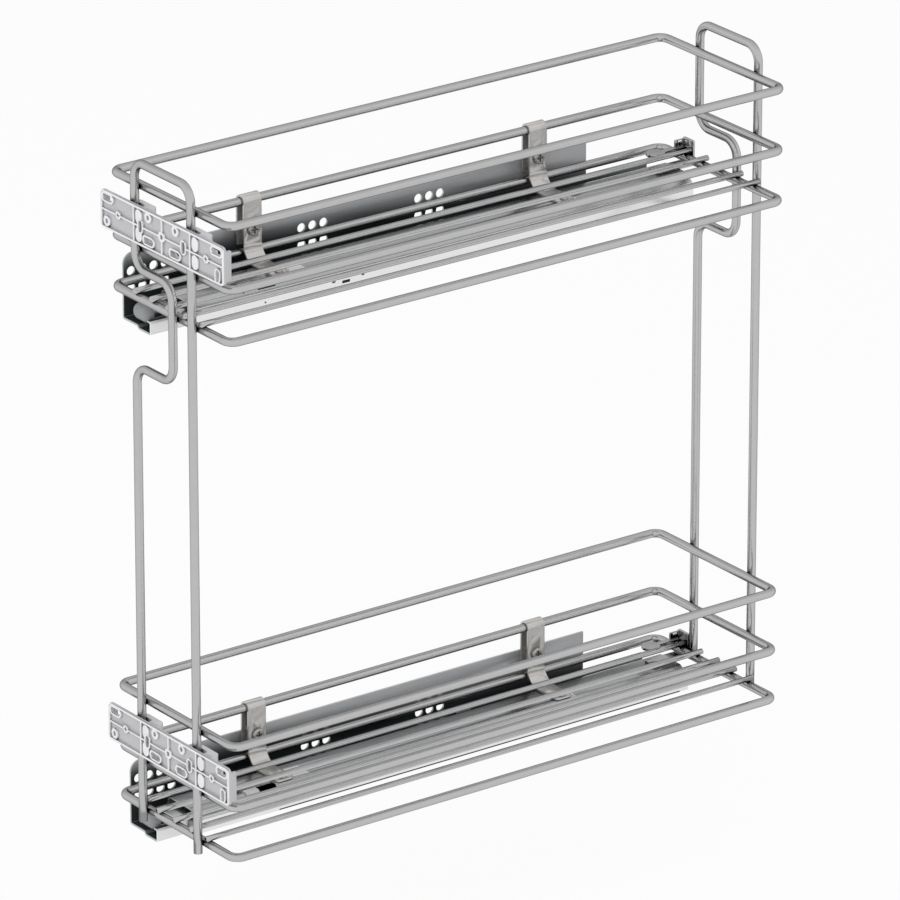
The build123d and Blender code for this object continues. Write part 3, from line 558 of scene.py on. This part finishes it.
sheet = {
    "grazing_tint": 0.7, "grain_scale": 1600, "grain_stretch": drawn_along_y,
    "grain_bump": 0.05, "tone": 0.2, "tone_scale": 220, "tone_stretch": drawn_along_y,
}
looks = {
    "satin_wire": {
        "color": grey(0.49), "roughness": 0.2, "metallic": 1.0, "grazing_tint": 0.3,
        "grain_scale": 600, "grain_bump": 0.0, "tone": 0.1, "tone_scale": 90,
        # Painted shade on the wires' upper sides
        "facing": upwards, "painted_facing_color": grey(0.38),
        "crevice_amount": 1.0, "crevice_reach": 0.005,
    },
    "galvanised_sheet": {
        **sheet, "color": (0.52, 0.525, 0.53), "roughness": 0.26, "metallic": 1.0,
        # Painted shade on the middle rail seen through the basket rail's window
        "painted_patches": window_shade,
    },
    "basket_rail_sheet": {
        **sheet, "color": (0.39, 0.40, 0.405), "roughness": 0.24, "metallic": 1.0,
        # Painted highlight on the side that faces away from the wall
        "facing": off_the_wall, "painted_facing_color": grey(0.78), "painted_patches": rail_painted_patches,
    },
    "channel_shaded_sheet": {
        **sheet, "color": (0.52, 0.53, 0.54), "roughness": 0.36, "metallic": 0.5,
        # Painted highlight on the lip and painted shade inside the channel
        "painted_patches": lip_highlight, "channel_shade_color": (0.035, 0.045, 0.048),
    },
    "strap_steel": {
        "color": (0.56, 0.545, 0.53), "roughness": 0.2, "metallic": 0.8, "grazing_tint": 0.4,
        "grain_bump": 0.0, "tone": 0.12, "tone_scale": 70,
        # Painted shade along the strap's edges
        "edge_color": (0.24, 0.235, 0.23), "edge_amount": 0.8, "crevice_reach": 0.0012,
    },
    "hook_steel": {
        "color": grey(0.42), "roughness": 0.16, "metallic": 1.0, "grazing_tint": 0.4,
        "tone": 0.3, "tone_scale": 120, "crevice_amount": 1.0, "crevice_reach": 0.004,
    },
    "screw_steel": {
        "color": (0.44, 0.43, 0.41), "roughness": 0.22, "metallic": 1.0,
        "tone": 0.2, "tone_scale": 200, "crevice_amount": 1.0, "crevice_reach": 0.006,
    },
    "dark_steel": {"color": grey(0.035), "roughness": 0.45, "metallic": 0.6, "tone": 0.2},
    "bracket_cast": {
        "color": (0.76, 0.76, 0.78), "roughness": 0.3, "metallic": 0.1,
        "grain_scale": 1100, "grain_bump": 0.12, "tone": 0.25, "tone_scale": 60,
        # Painted shade on the upward faces and on the pocket floors
        "facing": upwards, "painted_facing_color": grey(0.16), "pocket_shade_color": (0.48, 0.48, 0.50),
        "crevice_shade_color": (0.10, 0.10, 0.11), "crevice_amount": 1.0,
    },
    "die_cast": {
        "color": (0.60, 0.60, 0.62), "roughness": 0.32, "metallic": 0.35,
        "grain_scale": 1100, "grain_bump": 0.15, "tone": 0.2, "tone_scale": 110,
        # Painted highlight along the cast edges
        "edge_color": (0.82, 0.82, 0.84), "edge_amount": 0.6,
        "crevice_shade_color": (0.03, 0.03, 0.03), "crevice_amount": 1.0, "crevice_reach": 0.005,
    },
    "grey_plastic": {
        "color": (0.27, 0.28, 0.29), "roughness": 0.4, "metallic": 0.0,
        "grain_scale": 700, "tone": 0.06, "crevice_amount": 1.0, "crevice_reach": 0.004,
    },
    "pale_plastic": {
        "color": (0.72, 0.73, 0.74), "roughness": 0.4, "metallic": 0.0, "tone": 0.05,
    },
    "roller_plastic": {
        "color": (0.72, 0.72, 0.70), "roughness": 0.35, "metallic": 0.0, "tone": 0.05,
    },
    "cage_steel": {"color": grey(0.42), "roughness": 0.3, "metallic": 1.0, "tone": 0.15},
    "cylinder_steel": {
        "color": (0.5, 0.5, 0.52), "roughness": 0.2, "metallic": 1.0, "tone": 0.08,
    },
}
finishes = {name: finish_material(name, **look) for name, look in looks.items()}
slot_of_node = {row["node"]: row["material_slot"] for row in frame["record"]["subparts"]}
own_finish = {
    "cabinet_rail": "channel_shaded_sheet",
    "basket_rail": "basket_rail_sheet",
    "front_latch": "pale_plastic",
    "door_bracket": "bracket_cast",
    "bracket_screws": "bracket_cast",
}


def finish_of(node_name):
    """The slot's finish, apart from the pieces that have a finish of their own."""
    part = node_name.split("_", 1)[1]
    return finishes[own_finish.get(part, slot_of_node[node_name])]


def dress_nodes():
    for name, node in frame["nodes"].items():
        finish = finish_of(name)
        if node.material_slots:
            for place in node.material_slots:
                place.material = finish
        else:
            node.data.materials.append(finish)


# Finished copies of the CAD pieces
def only(piece):
    bpy.ops.object.select_all(action="DESELECT")
    piece.select_set(True)
    bpy.context.view_layer.objects.active = piece


def cut_across(piece, axes):
    """Cuts a wire's long faces at even steps, so that a bend's shading stays in the bend."""
    for axis in axes:
        places = [vertex.co[axis] for vertex in piece.data.vertices]
        low = min(places)
        run = max(places) - low
        steps = int(run / wire_cut_spacing)
        across = [0.0, 0.0, 0.0]
        across[axis] = 1.0
        for step in range(1, steps):
            point = [0.0, 0.0, 0.0]
            point[axis] = low + run * step / steps
            bpy.ops.mesh.select_all(action="SELECT")
            bpy.ops.mesh.bisect(plane_co=point, plane_no=across)


def finished_copy(node_name, bevel=0.0, flatten=True, cut_axes=()):
    """A merged copy of a CAD piece with rounded edges and smooth shading, which stands for it."""
    node = frame["nodes"][node_name]
    piece = bpy.data.objects.new(f"{node_name}_finished", node.data.copy())
    bpy.context.scene.collection.objects.link(piece)
    only(piece)
    bpy.ops.object.mode_set(mode="EDIT")
    bpy.ops.mesh.select_all(action="SELECT")
    bpy.ops.mesh.remove_doubles(threshold=merge_distance)
    if flatten:
        bpy.ops.mesh.dissolve_limited(angle_limit=flat_angle)
    cut_across(piece, cut_axes)
    bpy.ops.object.mode_set(mode="OBJECT")
    if bevel:
        rounding = piece.modifiers.new("rounding", "BEVEL")
        rounding.width = bevel
        rounding.segments = bevel_segments
        rounding.limit_method = "ANGLE"
        rounding.angle_limit = bevel_angle
        rounding.use_clamp_overlap = True
        bpy.ops.object.modifier_apply(modifier=rounding.name)
    bpy.ops.object.shade_smooth_by_angle(angle=smooth_angle)
    piece.data.materials.clear()
    piece.data.materials.append(finish_of(node_name))
    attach(piece, node["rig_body"])
    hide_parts(node_name)


# The object
add_camera()
add_world()
add_floor()
add_lamp("key_light", **key_light)
add_lamp("fill_light", **fill_light)
dress_nodes()

cuts_of_wires = {
    "bottom_ring": (x_axis, y_axis),
    "middle_ring": (x_axis, y_axis),
    "top_ring": (x_axis, y_axis),
    "floor_wires": (y_axis,),
}
bevel_of_parts = {
    "cabinet_rail": sheet_bevel,
    "middle_rail": sheet_bevel,
    "basket_rail": sheet_bevel,
    "front_strap": sheet_bevel,
    "rear_strap": sheet_bevel,
    "rear_hook": sheet_bevel,
    "hook_arm": sheet_bevel,
    "middle_rail_nose": small_bevel,
    "strap_screws": small_bevel,
    "front_latch": small_bevel,
    "door_bracket": cast_bevel,
    "wire_clamp": cast_bevel,
}
for tier in tiers:
    for part, axes in cuts_of_wires.items():
        finished_copy(f"{tier}_{part}", flatten=False, cut_axes=axes)
    for part, width in bevel_of_parts.items():
        finished_copy(f"{tier}_{part}", bevel=width)
for name in ("front_frame", "rear_frame"):
    finished_copy(name, flatten=False, cut_axes=(x_axis, z_axis))

bpy.context.scene.view_settings.view_transform = "Standard"
